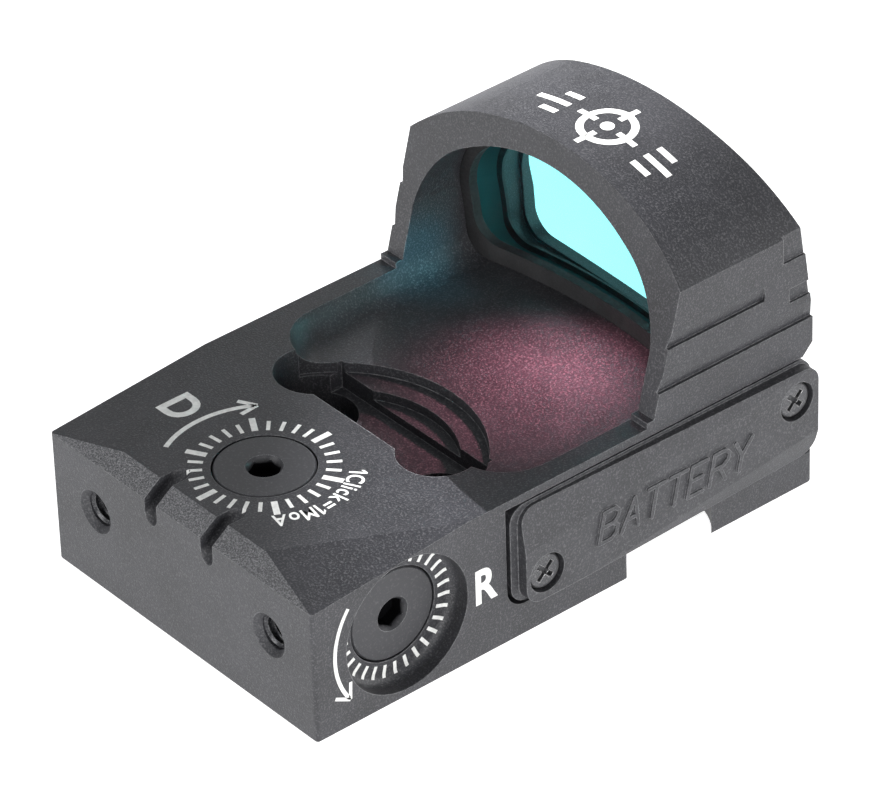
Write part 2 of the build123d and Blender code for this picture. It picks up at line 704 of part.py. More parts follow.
stem_end_x = switch_top_x - dome_h - switch_gap

for tag, y in zip(("up", "down"), button_y):
    with BuildPart() as dome:
        bar(switch_top_x - dome_h, switch_top_x, y, button_z, dome_r)
        chamfer(dome.faces().sort_by(Axis.X)[0].edges(), 0.15)
    save(dome, f"switch_dome_{tag}")
    with BuildPart() as button:
        bar(-half_w - button_out, -half_w - button_out + button_thick, y, button_z, button_r)
        fillet(button.faces().sort_by(Axis.X)[0].edges(), 0.35)
        bar(-half_w - button_out + button_thick - 0.2, stem_end_x, y, button_z, stem_r)
        # clip groove near the inner end of the stem
        clip_x = bay_left + 0.08
        with Locations(Location((clip_x + 0.1, y, button_z), (0, 90, 0))):
            Cylinder(stem_r + 0.5, 0.24, mode=Mode.SUBTRACT)
            Cylinder(stem_r - 0.3, 0.24)
        # plus or minus sign cut into the cap
        span(-half_w - button_out - 1, -half_w - button_out + 0.15, y - 1.5, y + 1.5, button_z - 0.25,
             button_z + 0.25, mode=Mode.SUBTRACT)
        if tag == "up":
            span(-half_w - button_out - 1, -half_w - button_out + 0.15, y - 0.25, y + 0.25, button_z - 1.5,
                 button_z + 1.5, mode=Mode.SUBTRACT)
    save(button, f"brightness_{tag}_button")
    with BuildPart() as stem_clip:
        bar(clip_x + 0.01, clip_x + 0.19, y, button_z, stem_r + 0.4)
        bar(clip_x - 1, clip_x + 1, y, button_z, stem_r - 0.29, mode=Mode.SUBTRACT)
        span(clip_x - 1, clip_x + 1, y - stem_r + 0.35, y + stem_r - 0.35, button_z - 5, button_z,
             mode=Mode.SUBTRACT)
    save(stem_clip, f"stem_clip_{tag}")
with BuildPart() as button_seals:
    for y in button_y:
        bar(button_pocket_x - 0.25, button_pocket_x, y, button_z, button_r - 0.2)
        bar(button_pocket_x - 1, button_pocket_x + 1, y, button_z, stem_r + 0.02, mode=Mode.SUBTRACT)
save(button_seals, "button_seals")

# ================================================================ bottom cover
cover_mid = ((cover_x0 + cover_x1) / 2, (cover_y0 + cover_y1) / 2)
cover_w = cover_x1 - cover_x0
cover_l = cover_y1 - cover_y0
with BuildPart() as bottom_cover:
    with BuildSketch():
        with Locations(cover_mid):
            RectangleRounded(cover_w - 2 * cover_gap, cover_l - 2 * cover_gap, cover_corner_r - cover_gap)
    extrude(amount=cover_thick)
    for x, y in cover_screws:
        with Locations(Location((x, y, 0), (180, 0, 0))):
            CounterSinkHole(cover_screw_r + 0.1, cover_head_r + 0.05, cover_thick)
    for side in (-1, 1):
        post(side * mount_x, mount_y, -1, 2, mount_r, mode=Mode.SUBTRACT)
    # posts that hold the guide rod up in its saddles
    pad_low = cover_thick - 0.2
    for x0, x1 in ((chamber_left - rod_seat + 0.15, chamber_left - 0.05),
                   (chamber_right + 0.05, chamber_right + rod_seat - 0.15)):
        span(x0, x1, rod_y - rod_r + 0.1, rod_y + rod_r - 0.1, pad_low, rod_z - rod_r - 0.02)
save(bottom_cover, "bottom_cover")
with BuildPart() as cover_gasket:
    with BuildSketch(Plane.XY.offset(cover_thick)):
        with Locations(cover_mid):
            RectangleRounded(cover_w - 2 * cover_gap, cover_l - 2 * cover_gap, cover_corner_r - cover_gap)
            RectangleRounded(cover_w - 2 * gasket_w, cover_l - 2 * gasket_w, cover_corner_r - 0.4,
                             mode=Mode.SUBTRACT)
        for side in (-1, 1):
            with Locations((side * mount_x, mount_y)):
                Circle(mount_r + gasket_w)
                Circle(mount_r, mode=Mode.SUBTRACT)
    extrude(amount=gasket_thick)
    for x, y in cover_screws:
        post(x, y, cover_thick, cover_thick + gasket_thick, cover_screw_r + 0.6)
        post(x, y, 0, cover_thick + 1, cover_screw_r + 0.1, mode=Mode.SUBTRACT)
save(cover_gasket, "cover_gasket")
with BuildPart() as cover_screw_set:
    for x, y in cover_screws:
        with Locations((x, y, cover_head_h / 2 + 0.02)):
            Cone(cover_head_r, cover_screw_r, cover_head_h)
        post(x, y, 0.1, cover_screw_length, cover_screw_r)
        for turn in (0, 90):
            with Locations(Location((x, y, 0.2), (0, 0, turn))):
                Box(1.5, 0.35, 0.5, mode=Mode.SUBTRACT)
save(cover_screw_set, "cover_screws")

# ================================================================ battery tray
facet_in = 0.6                  # how far the facets cut in at their deep ends
with BuildPart() as tray_plate:
    with BuildSketch(Plane.YZ.offset(flange_x - 0.05)) as plate_plan:
        with Locations(((tray_rear + tray_front) / 2, (tray_low + tray_top) / 2)):
            RectangleRounded(tray_front - tray_rear, tray_top - tray_low, tray_corner_r)
    extrude(amount=tray_face_x - flange_x + 0.05)
    facet_planes = (
        ((tray_face_x, tray_rear, 7.0), (tray_face_x, tray_front, 10.4), (tray_face_x - facet_in, tray_rear, 10.35)),
        ((tray_face_x, rear + 22.0, 2.7), (tray_face_x, tray_front, 4.8), (tray_face_x - facet_in, tray_front, 2.75)),
    )
    for first, second, third in facet_planes:
        along = Vector(*second) - Vector(*first)
        normal = along.cross(Vector(*third) - Vector(*first))
        if normal.X < 0:
            normal = normal * -1
        split(bisect_by=Plane(origin=first, x_dir=along, z_dir=normal), keep=Keep.BOTTOM)
with BuildPart() as battery_tray:
    with BuildSketch(Plane.YZ.offset(flange_in)) as flange_plan:
        with Locations(((flange_rear + tray_front) / 2, (tray_low + flange_top) / 2)):
            RectangleRounded(tray_front - flange_rear, flange_top - tray_low, tray_corner_r)
    extrude(amount=flange_x - flange_in)
    add(tray_plate.part)
    # raised legend on the outer face
    with BuildSketch(Plane(origin=(tray_face_x - 0.1, word_y, word_z), x_dir=(0, 1, 0), z_dir=(1, 0, 0))) as word:
        for place, letter in enumerate("BATTERY"):
            for x0, z0, x1, z1 in letter_strokes[letter]:
                ax = place * word_pitch + (x0 + word_slant * z0) * word_h
                bx = place * word_pitch + (x1 + word_slant * z1) * word_h
                run, rise = bx - ax, (z1 - z0) * word_h
                with Locations(Location(((ax + bx) / 2, (z0 + z1) * word_h / 2), degrees(atan2(rise, run)))):
                    SlotCenterToCenter(sqrt(run * run + rise * rise), word_stroke)
    extrude(word.sketch, amount=0.1 + word_raise)
    # screw wells and holes
    for y, z in tray_screws:
        bar(tray_face_x - tray_well, tray_face_x + 1, y, z, tray_well_r, mode=Mode.SUBTRACT)
        bar(flange_in - 1, tray_face_x, y, z, tray_screw_r + 0.05, mode=Mode.SUBTRACT)
    # cradle for the cell, with an open inner end
    cell_top = cell_z + cell_h
    span(cradle_left, flange_in + 0.1, cell_y - cradle_half, cell_y + cradle_half, cell_z - cradle_floor, cradle_top)
    post(cell_x, cell_y, cell_z, cell_top + 1, cell_r + cell_gap, mode=Mode.SUBTRACT)
    span(cell_x - 4.5, cell_x + 4.5, cell_y - cradle_half - 1, cell_y + cradle_half + 1, cell_z, cell_top + 1,
         mode=Mode.SUBTRACT)
    span(cradle_left - 1, cell_x - 4.5, cell_y - 8.0, cell_y + 8.0, cell_z, cell_top + 1, mode=Mode.SUBTRACT)
    post(cell_x, cell_y, 0, cell_z + 1, 5.0, mode=Mode.SUBTRACT)
save(battery_tray, "battery_tray")
with BuildPart() as tray_gasket:
    with BuildSketch(Plane.YZ.offset(pocket_floor_x)):
        with Locations(((flange_rear + tray_front) / 2, (tray_low + flange_top) / 2)):
            RectangleRounded(tray_front - flange_rear, flange_top - tray_low, tray_corner_r)
        with Locations((cell_y, (cell_bay_low + cell_bay_top) / 2)):
            Rectangle(2 * cell_bay_half + 0.1, cell_bay_top - cell_bay_low + 0.1, mode=Mode.SUBTRACT)
    extrude(amount=flange_in - pocket_floor_x)
    for y, z in tray_screws:
        bar(0, half_w, y, z, tray_screw_r + 0.05, mode=Mode.SUBTRACT)
save(tray_gasket, "tray_gasket")
with BuildPart() as coin_cell:
    post(cell_x, cell_y, cell_z, cell_top - 0.35, cell_r)
    fillet(coin_cell.faces().sort_by(Axis.Z)[0].edges(), 0.4)
    post(cell_x, cell_y, cell_top - 0.6, cell_top, cell_r - 1.1)
save(coin_cell, "coin_cell")
for tag, (y, z) in zip(("rear", "front"), tray_screws):
    head_in = tray_face_x - tray_well
    with BuildPart() as tray_screw:
        bar(head_in, head_in + tray_head_h, y, z, tray_head_r)
        fillet(tray_screw.faces().sort_by(Axis.X)[-1].edges(), 0.2)
        bar(head_in - tray_screw_length, head_in, y, z, tray_screw_r)
        for turn in (0, 90):
            with Locations(Location((head_in + tray_head_h, y, z), (turn + 45, 0, 0))):
                Box(0.9, 1.7, 0.36, mode=Mode.SUBTRACT)
    save(tray_screw, f"tray_screw_{tag}")

# ================================================================ cell contacts, soldered to the board
leaf = 0.15
with BuildPart() as edge_contact:
    span(board_x, board_x + leaf, rear + 21.6, rear + 23.6, 4.4, 6.4)
    span(board_x, cell_bay_left + 0.05, rear + 23.6 - leaf, rear + 23.6, 4.4, 6.4)
    span(cell_bay_left + 0.03, cell_bay_left + 0.03 + leaf, rear + 23.6 - leaf, cell_y + 3.0, 4.4, 6.4)
    with Locations(Location((cell_x - cell_r - 0.35, cell_y, 5.4), (0, 0, 0))):
        Cylinder(0.33, 2.0)
    span(cell_bay_left + 0.1, cell_x - cell_r - 0.35, cell_y - 0.3, cell_y + 0.3, 4.4, 6.4)
save(edge_contact, "edge_contact")
with BuildPart() as face_contact:
    span(board_x, board_x + leaf, rear + 21.6, rear + 23.6, 6.8, 8.4)
    span(board_x, -4.0, rear + 22.0, rear + 23.2, cell_bay_top - leaf, cell_bay_top)
    with Locations((-4.0, rear + 22.6 + 2.2, cell_bay_top - leaf / 2)):
        Box(1.2, 5.6, leaf)
    span(-4.45, -3.55, rear + 26.5, rear + 27.4, cell_top + 0.01, cell_bay_top - 0.05)
save(face_contact, "face_contact")
print(len(label_list), "pieces")
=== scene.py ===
"""Finishes, painted marks and studio for an open red dot finder.

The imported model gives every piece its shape. This file gives the pieces their finishes, adds the
white paint marks and the screw threads, and sets up a plain studio. Lengths are in metres unless a
name ends in _mm; positions named in millimetres are in the model's own frame."""
import json
from math import cos, hypot, pi, radians, sin

import bmesh
import bpy
from bpy.props import FloatProperty, FloatVectorProperty, IntProperty, PointerProperty, StringProperty
from mathutils import Matrix, Vector
from mathutils.bvhtree import BVHTree

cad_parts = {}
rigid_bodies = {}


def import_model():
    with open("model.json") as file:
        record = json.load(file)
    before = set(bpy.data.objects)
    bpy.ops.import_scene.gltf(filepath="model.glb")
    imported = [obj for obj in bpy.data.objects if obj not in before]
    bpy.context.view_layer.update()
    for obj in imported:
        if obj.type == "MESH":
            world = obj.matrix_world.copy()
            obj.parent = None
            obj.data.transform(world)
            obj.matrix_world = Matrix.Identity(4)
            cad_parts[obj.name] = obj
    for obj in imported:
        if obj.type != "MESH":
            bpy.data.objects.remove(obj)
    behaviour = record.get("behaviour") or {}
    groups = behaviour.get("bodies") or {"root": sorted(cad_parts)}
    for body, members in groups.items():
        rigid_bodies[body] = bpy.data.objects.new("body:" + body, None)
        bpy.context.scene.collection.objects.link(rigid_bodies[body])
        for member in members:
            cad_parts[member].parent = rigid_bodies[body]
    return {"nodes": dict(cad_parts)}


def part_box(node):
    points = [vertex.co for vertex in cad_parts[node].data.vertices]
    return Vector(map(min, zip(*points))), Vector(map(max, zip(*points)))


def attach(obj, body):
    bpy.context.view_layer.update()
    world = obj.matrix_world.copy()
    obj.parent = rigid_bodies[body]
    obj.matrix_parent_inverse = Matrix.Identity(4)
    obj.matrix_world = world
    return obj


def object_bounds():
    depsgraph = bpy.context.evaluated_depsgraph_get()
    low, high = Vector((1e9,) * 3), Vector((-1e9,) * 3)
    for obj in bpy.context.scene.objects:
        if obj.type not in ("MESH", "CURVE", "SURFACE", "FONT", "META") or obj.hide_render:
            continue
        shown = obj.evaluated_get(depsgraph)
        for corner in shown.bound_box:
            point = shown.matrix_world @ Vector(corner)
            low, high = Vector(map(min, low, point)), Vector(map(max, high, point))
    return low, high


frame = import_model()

bl_info = {
    "name": "Red Dot Finder",
    "version": (1, 0, 0),
    "blender": (4, 5, 0),
    "location": "View3D > Sidebar > Finder",
    "description": "Finishes, painted marks and studio for an open red dot finder",
    "category": "Object",
}

MM = 0.001
CAD_BOX = [list(corner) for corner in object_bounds()]
BODY = "housing"

# where the marks and holes lie on the housing, in millimetres
DECK_Z_MM = 11.5
SIDE_X_MM = 14.0
WELL_X_MM = 12.45
CROWN_MM = (1.0, 15.1, 26.0)
HOLE_X_MM = 9.32
HOLE_Z_MM = 6.33
SHEET_REACH_MM = 1.2            # how far the metal may lie from a sheet of marks
SLAB_STEP_MM = 0.35             # a slab of paint that would drop further than this is left out

# where the camera aims and how far its axis is shifted, in millimetres
AIM_MM = (0, -0.05, 9.0)
SHIFT_RIGHT_MM = 0.5493
SHIFT_UP_MM = 1.0622


def node_middle(name):
    """Middle of a node's box, in millimetres."""
    low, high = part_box(name)
    return [(a + b) / 2 / MM for a, b in zip(low, high)]


def colour(name, text, value):
    return FloatVectorProperty(name=name, description=text, subtype="COLOR", size=3, min=0, max=1,
                               default=value)


def length_mm(name, text, value):
    return FloatProperty(name=name, description=text + ", in millimetres", default=value, min=0)


class FinderColours(bpy.types.PropertyGroup):
    """Colours of the finishes."""
    anodise: colour("Anodised metal", "Bead-blasted black anodising", (0.022, 0.022, 0.026))
    tray: colour("Tray", "Anodising of the battery tray", (0.028, 0.028, 0.032))
    dial: colour("Dials", "Turned faces of the click dials", (0.030, 0.030, 0.034))
    # edge: pale colour of the grain flecks, and of the painted highlight on sharp edges and on the rear
    # chamfer
    edge: colour("Edges highlight and flecks", "Where the anodising is thin on sharp edges", (0.30, 0.30, 0.31))
    paint: colour("Paint", "White paint of the marks", (0.80, 0.80, 0.78))
    steel: colour("Black steel", "Black oxide screws", (0.075, 0.075, 0.08))
    spring: colour("Spring steel", "Springs, clips and rods", (0.55, 0.55, 0.56))
    brass: colour("Brass", "Nut and carriage", (0.72, 0.53, 0.24))
    bronze: colour("Bronze", "Cell contacts", (0.80, 0.60, 0.33))
    rubber: colour("Rubber", "Seals and gaskets", (0.012, 0.012, 0.013))
    button: colour("Buttons", "Soft caps of the buttons", (0.035, 0.035, 0.037))
    plastic: colour("Black plastic", "Emitter block and packages", (0.02, 0.02, 0.022))
    board: colour("Board", "Solder mask", (0.012, 0.11, 0.045))
    cell: colour("Cell", "Plated can of the coin cell", (0.72, 0.72, 0.70))
    glass: colour("Lens", "Light that the coated lens lets through", (0.36, 0.97, 1.0))
    sheen: colour("Lens sheen", "Light that the coating sends back", (1.0, 0.30, 0.34))
    diode: colour("Diode", "Red emitter chip", (0.55, 0.02, 0.015))


class FinderMarks(bpy.types.PropertyGroup):
    """Sizes of the painted marks and threads."""
    raise_mm: length_mm("Paint height", "How far the paint stands off the metal", 0.018)
    sink_mm: length_mm("Paint depth", "How far the paint goes into the metal", 0.03)
    clicks: IntProperty(name="Clicks", description="Marks on each scale", default=30, min=4)
    deck_inner_mm: length_mm("Deck scale inside", "Inner radius of the deck scale", 4.15)
    deck_outer_mm: length_mm("Deck scale outside", "Outer radius of its short marks", 5.2)
    deck_long_mm: length_mm("Deck scale long marks", "Outer radius of its long marks", 5.65)
    side_inner_mm: length_mm("Side scale inside", "Inner radius of the side scale", 3.88)
    side_outer_mm: length_mm("Side scale outside", "Outer radius of the side scale", 4.82)
    thin_mm: length_mm("Thin stroke", "Width of a short mark", 0.27)
    thick_mm: length_mm("Thick stroke", "Width of a long mark", 0.45)
    arrow_mm: length_mm("Arrow stroke", "Width of the turning arrows", 0.36)
    legend: StringProperty(name="Legend", description="What one click does", default="1Click=1MoA")
    pitch_mm: length_mm("Thread pitch", "Pitch of the threads in the rear holes", 0.5)


class FinderStudio(bpy.types.PropertyGroup):
    """Camera and light."""
    azimuth: FloatProperty(name="Azimuth", description="Camera direction round the finder, degrees",
                           default=51.07)
    elevation: FloatProperty(name="Elevation", description="Camera height angle, degrees", default=34.77)
    roll: FloatProperty(name="Roll", description="Camera roll, degrees", default=-1.95)
    lens_mm: FloatProperty(name="Lens", description="Focal length, millimetres", default=256.26)
    distance: FloatProperty(name="Distance", description="From the aim point", default=0.42747, unit="LENGTH")
    floor_glow: FloatProperty(name="Floor glow", description="Light of the lit table top", default=0.95)
    sky: FloatProperty(name="Room light", description="Even light from above", default=0.40)


# ---------------------------------------------------------------- finishes
def new_finish(name):
    """A material with an empty node tree but for its shader and output."""
    finish = bpy.data.materials.new(name)
    finish.use_nodes = True
    tree = finish.node_tree
    tree.nodes.clear()
    out = tree.nodes.new("ShaderNodeOutputMaterial")
    shader = tree.nodes.new("ShaderNodeBsdfPrincipled")
    tree.links.new(shader.outputs[0], out.inputs["Surface"])
    return finish, tree, shader


def put(tree, kind, inputs=(), **settings):
    """A node of that kind; inputs are (socket name or number, value or output)."""
    made = tree.nodes.new("ShaderNode" + kind)
    for key, value in settings.items():
        setattr(made, key, value)
    for key, value in inputs:
        if isinstance(value, bpy.types.NodeSocket):
            tree.links.new(value, made.inputs[key])
        else:
            made.inputs[key].default_value = value
    return made


def place_in_model(tree):
    """Coordinates of the surface in the model's frame."""
    return put(tree, "TexCoord").outputs["Object"]


def maths(tree, operation, *values):
    return put(tree, "Math", list(enumerate(values)), operation=operation).outputs[0]


def noise(tree, where, scale, detail=2.0, rough=0.55):
    inputs = [("Vector", where), ("Scale", scale), ("Detail", detail), ("Roughness", rough)]
    return put(tree, "TexNoise", inputs).outputs["Fac"]


def spread(tree, value, low, high, to_low=0.0, to_high=1.0):
    """Maps low..high to to_low..to_high, held at the ends."""
    inputs = [("Value", value), ("From Min", low), ("From Max", high), ("To Min", to_low),
              ("To Max", to_high)]
    return put(tree, "MapRange", inputs).outputs["Result"]


def mix(tree, share, first, second, kind="MIX"):
    """Blend of two colours."""
    made = tree.nodes.new("ShaderNodeMix")
    made.data_type = "RGBA"
    made.blend_type = kind
    for key, value in ((0, share), (6, first), (7, second)):
        if isinstance(value, bpy.types.NodeSocket):
            tree.links.new(value, made.inputs[key])
        elif key:
            made.inputs[key].default_value = (*value[:3], 1)
        else:
            made.inputs[key].default_value = value
    return made.outputs[2]


def edge_share(tree, radius, breakup):
    """How far the surface turns within a radius: 1 on sharp edges, 0 on open faces."""
    rounded = put(tree, "Bevel", [("Radius", radius)], samples=6).outputs[0]
    plain = put(tree, "NewGeometry").outputs["Normal"]
    dot = put(tree, "VectorMath", [(0, rounded), (1, plain)], operation="DOT_PRODUCT").outputs["Value"]
    turned = spread(tree, dot, 0.97, 0.80)
    return maths(tree, "MULTIPLY", turned, breakup), rounded


def metal_finish(name, tint, edge, rough=(0.42, 0.58), grain=7200, grain_depth=0.5, highlight_strength=0.7,
                 metallic=0.0, cloud=0.22, specular=0.5, speckle=None):
    """Anodised or blasted metal: fine grain, soft clouds of tone and a painted highlight along sharp edges.
    speckle, when given, makes a mask where the blasting is coarse; bright flecks painted in it are a painted
    highlight, the pits a real bump."""
    finish, tree, shader = new_finish(name)
    where = place_in_model(tree)
    fine = noise(tree, where, grain, 3.0, 0.62)
    clouds = noise(tree, where, 260, 3.0)
    breakup = spread(tree, noise(tree, where, 2600, 2.0), 0.35, 0.6, 0.15, 1.0)
    edge_highlight, rounded = edge_share(tree, 0.00013, breakup)
    low = tuple(c * (1 - cloud) for c in tint)
    high = tuple(c * (1 + cloud) for c in tint)
    toned = mix(tree, spread(tree, clouds, 0.3, 0.7), low, high)
    flecks = spread(tree, fine, 0.50, 0.72, 0.0, 0.26)
    toned = mix(tree, flecks, toned, edge)
    depth = spread(tree, fine, 0.2, 0.8)
    if speckle:
        mask = speckle(tree, where)
        coarse = noise(tree, where, 8600, 2.0, 0.7)
        # painted highlight: bright flecks on the chamfer face, lightened towards the pale colour; the pits
        # below are real blasting
        bright = maths(tree, "MULTIPLY", mask, spread(tree, coarse, 0.44, 0.64, 0.10, 0.55))
        toned = mix(tree, bright, toned, edge)
        pits = maths(tree, "MULTIPLY", mask, spread(tree, coarse, 0.3, 0.7, 0, 1.6))
        depth = maths(tree, "ADD", depth, pits)
    # painted highlight: sharp edges lightened towards the pale colour
    edge_highlight = maths(tree, "MULTIPLY", edge_highlight, highlight_strength)
    tree.links.new(mix(tree, edge_highlight, toned, edge), shader.inputs["Base Color"])
    tree.links.new(spread(tree, fine, 0.3, 0.7, *rough), shader.inputs["Roughness"])
    bump = put(tree, "Bump", [("Height", depth), ("Strength", grain_depth), ("Distance", 0.00005),
                              ("Normal", rounded)])
    tree.links.new(bump.outputs[0], shader.inputs["Normal"])
    shader.inputs["Metallic"].default_value = metallic
    shader.inputs["Specular IOR Level"].default_value = specular
    return finish


def turned_finish(name, tint, edge, centre, axis, face):
    """Lathe-turned face: faint rings about an axis through centre, with a painted highlight on the rims.
    face is where the outer face lies along the axis; below it the hexagon socket is painted dark as shade,
    with its reflection turned off."""
    finish, tree, shader = new_finish(name)
    where = place_in_model(tree)
    offset = put(tree, "VectorMath", [(0, where), (1, Vector(centre))], operation="SUBTRACT").outputs[0]
    keep = Vector([0.0 if i == axis else 1.0 for i in range(3)])
    flat = put(tree, "VectorMath", [(0, offset), (1, keep)], operation="MULTIPLY").outputs[0]
    radius = put(tree, "VectorMath", [(0, flat)], operation="LENGTH").outputs["Value"]
    rings = put(tree, "TexNoise", [("W", radius), ("Scale", 9000.0), ("Detail", 3.0)],
                noise_dimensions="1D").outputs[0]
    grain = noise(tree, where, 5200, 2.0)
    breakup = spread(tree, noise(tree, where, 1900, 2.0), 0.35, 0.6, 0.3, 1.0)
    # edge_highlight: mask of the painted highlight on the rims of the turned face
    edge_highlight, rounded = edge_share(tree, 0.00010, breakup)
    toned = mix(tree, spread(tree, rings, 0.3, 0.7), [c * 0.86 for c in tint], [c * 1.12 for c in tint])
    toned = mix(tree, spread(tree, grain, 0.55, 0.75, 0, 0.12), toned, edge)
    along = put(tree, "SeparateXYZ", [(0, where)]).outputs[axis]
    # painted shade: the hexagon socket below the face is darkened and its reflection turned off
    socket_shade = spread(tree, along, face - 0.15 * MM, face - 0.5 * MM)
    toned = mix(tree, socket_shade, mix(tree, edge_highlight, toned, edge), [c * 0.12 for c in tint])
    tree.links.new(toned, shader.inputs["Base Color"])
    tree.links.new(spread(tree, socket_shade, 0, 1, 0.5, 0.0), shader.inputs["Specular IOR Level"])
    tree.links.new(spread(tree, rings, 0.25, 0.75, 0.40, 0.52), shader.inputs["Roughness"])
    bump = put(tree, "Bump", [("Height", rings), ("Strength", 0.16), ("Distance", 0.00002),
                              ("Normal", rounded)])
    tree.links.new(bump.outputs[0], shader.inputs["Normal"])
    return finish


def rubber_finish(name, tint, rough=(0.5, 0.72), grain=3800):
    """Moulded rubber: dull, slightly mottled, with a soft dusty bloom."""
    finish, tree, shader = new_finish(name)
    where = place_in_model(tree)
    mottled = noise(tree, where, grain, 3.0, 0.6)
    bloom = noise(tree, where, 420, 2.0)
    toned = mix(tree, spread(tree, bloom, 0.35, 0.75, 0.0, 0.6), tint, [c * 1.9 + 0.004 for c in tint])
    tree.links.new(toned, shader.inputs["Base Color"])
    tree.links.new(spread(tree, mottled, 0.3, 0.7, *rough), shader.inputs["Roughness"])
    bump = put(tree, "Bump", [("Height", mottled), ("Strength", 0.22), ("Distance", 0.00004)])
    tree.links.new(bump.outputs[0], shader.inputs["Normal"])
    return finish


def paint_finish(name, tint):
    """Filled white paint: matt, a little uneven, thin in places."""
    finish, tree, shader = new_finish(name)
    where = place_in_model(tree)
    uneven = noise(tree, where, 2400, 3.0)
    toned = mix(tree, spread(tree, uneven, 0.34, 0.62), [c * 0.80 for c in tint], tint)
    tree.links.new(toned, shader.inputs["Base Color"])
    tree.links.new(spread(tree, uneven, 0.3, 0.7, 0.42, 0.62), shader.inputs["Roughness"])
    bump = put(tree, "Bump", [("Height", uneven), ("Strength", 0.3), ("Distance", 0.00003)])
    tree.links.new(bump.outputs[0], shader.inputs["Normal"])
    return finish


def glass_finish(name, tint, sheen, face_axis, ior=1.52, level=0.5):
    """Coated glass: tinted inside, a coloured sheen from its coating, hardly any haze. The faces across
    face_axis are polished and the rim round them is ground."""
    finish, tree, shader = new_finish(name)
    where = place_in_model(tree)
    haze = noise(tree, where, 180, 2.0)
    toned = mix(tree, spread(tree, haze, 0.3, 0.7), [c * 0.97 for c in tint], tint)
    normal = put(tree, "SeparateXYZ", [(0, put(tree, "NewGeometry").outputs["Normal"])])
    polished = spread(tree, maths(tree, "ABSOLUTE", normal.outputs[face_axis]), 0.5, 0.7)
    tree.links.new(mix(tree, polished, (0.06, 0.15, 0.16), toned), shader.inputs["Base Color"])
    tree.links.new(spread(tree, haze, 0.3, 0.8, 0.0, 0.012), shader.inputs["Roughness"])
    tree.links.new(polished, shader.inputs["Transmission Weight"])
    shader.inputs["IOR"].default_value = ior
    shader.inputs["Specular IOR Level"].default_value = level
    shader.inputs["Specular Tint"].default_value = (*sheen, 1)
    return finish


def wear(finish, *nodes):
    """Gives the finish to those nodes of the model."""
    for name in nodes:
        slots = frame["nodes"][name].data.materials
        if not len(slots):
            slots.append(finish)
        for i in range(len(slots)):
            slots[i] = finish


def rear_chamfer(tree, where):
    """Mask of the coarse blasted chamfer along the rear top edge, picked by where it lies and which way it
    faces; it carries a painted highlight sparkle.
    """
    parts = put(tree, "SeparateXYZ", [(0, where)])
    normal = put(tree, "SeparateXYZ", [(0, put(tree, "NewGeometry").outputs["Normal"])])
    back = spread(tree, parts.outputs["Y"], -0.0204, -0.0206)
    sloping = spread(tree, normal.outputs["Z"], 0.45, 0.6)
    leaning = spread(tree, normal.outputs["Y"], -0.35, -0.45)
    above = spread(tree, parts.outputs["Z"], 0.01034, 0.01044)
    facing = maths(tree, "MULTIPLY", sloping, leaning)
    return maths(tree, "MULTIPLY", maths(tree, "MULTIPLY", back, above), facing)


# ---------------------------------------------------------------- painted marks
class Surface:
    """A flat sheet of the finder's outside that marks are painted on. u runs along `right`, v along `up`;
    every point is dropped onto the metal along the sheet's normal."""

    def __init__(self, origin, right, up, reach=3.0):
        self.origin, self.right, self.up = Vector(origin), Vector(right), Vector(up)
        self.out = self.right.cross(self.up)
        self.reach = reach
        mesh = frame["nodes"][BODY].data
        self.metal = BVHTree.FromPolygons([v.co for v in mesh.vertices], [p.vertices for p in mesh.polygons])

    def point(self, u, v, height):
        """The metal under (u, v), lifted by height; None where no metal is near the sheet."""
        flat = self.origin + self.right * u + self.up * v
        hit = self.metal.ray_cast((flat + self.out * self.reach) * MM, -self.out, 2 * self.reach * MM)[0]
        if hit is None or abs((hit / MM - flat).dot(self.out)) > SHEET_REACH_MM:
            return None
        return hit + self.out * height * MM


def painted(name, surface, shapes, marks):
    """One mesh of thin paint slabs. shapes are outlines of (u, v), each convex."""
    mesh = bmesh.new()
    for outline in shapes:
        top = [surface.point(u, v, marks.raise_mm) for u, v in outline]
        if any(p is None for p in top):
            continue
        drops = [(p - top[0]).dot(surface.out) for p in top]
        if max(drops) - min(drops) > SLAB_STEP_MM * MM:
            continue
        upper = [mesh.verts.new(p) for p in top]
        lower = [mesh.verts.new(p - surface.out * (marks.raise_mm + marks.sink_mm) * MM) for p in top]
        mesh.faces.new(upper)
        mesh.faces.new(lower[::-1])
        for i in range(len(outline)):
            j = (i + 1) % len(outline)
            mesh.faces.new((lower[i], lower[j], upper[j], upper[i]))
    return finish_piece(name, mesh)


def finish_piece(name, mesh):
    """Turns the bmesh into an object that rides on the housing."""
    bmesh.ops.recalc_face_normals(mesh, faces=mesh.faces)
    data = bpy.data.meshes.new(name)
    mesh.to_mesh(data)
    mesh.free()
    piece = bpy.data.objects.new(name, data)
    bpy.context.scene.collection.objects.link(piece)
    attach(piece, BODY)
    return piece


def bar_shapes(points, width, pieces=4):
    """Outlines of a stroke of even width through the points, cut into short convex slabs."""
    shapes = []
    for (u0, v0), (u1, v1) in zip(points, points[1:]):
        run = hypot(u1 - u0, v1 - v0)
        su, sv = -(v1 - v0) / run * width / 2, (u1 - u0) / run * width / 2
        for k in range(pieces):
            a, b = k / pieces, (k + 1) / pieces
            ends = [(u0 + (u1 - u0) * t, v0 + (v1 - v0) * t) for t in (a, b)]
            shapes.append([(ends[0][0] - su, ends[0][1] - sv), (ends[1][0] - su, ends[1][1] - sv),
                           (ends[1][0] + su, ends[1][1] + sv), (ends[0][0] + su, ends[0][1] + sv)])
    return shapes


def arc_shapes(centre, radius, start, end, width, steps=28):
    """Outlines of an arc stroke, in degrees, counter-clockwise positive."""
    shapes = []
    for k in range(steps):
        a, b = (radians(start + (end - start) * t / steps) for t in (k, k + 1))
        ring = [(r, t) for r, t in ((radius - width / 2, a), (radius - width / 2, b),
                                    (radius + width / 2, b), (radius + width / 2, a))]
        shapes.append([(centre[0] + r * cos(t), centre[1] + r * sin(t)) for r, t in ring])
    return shapes


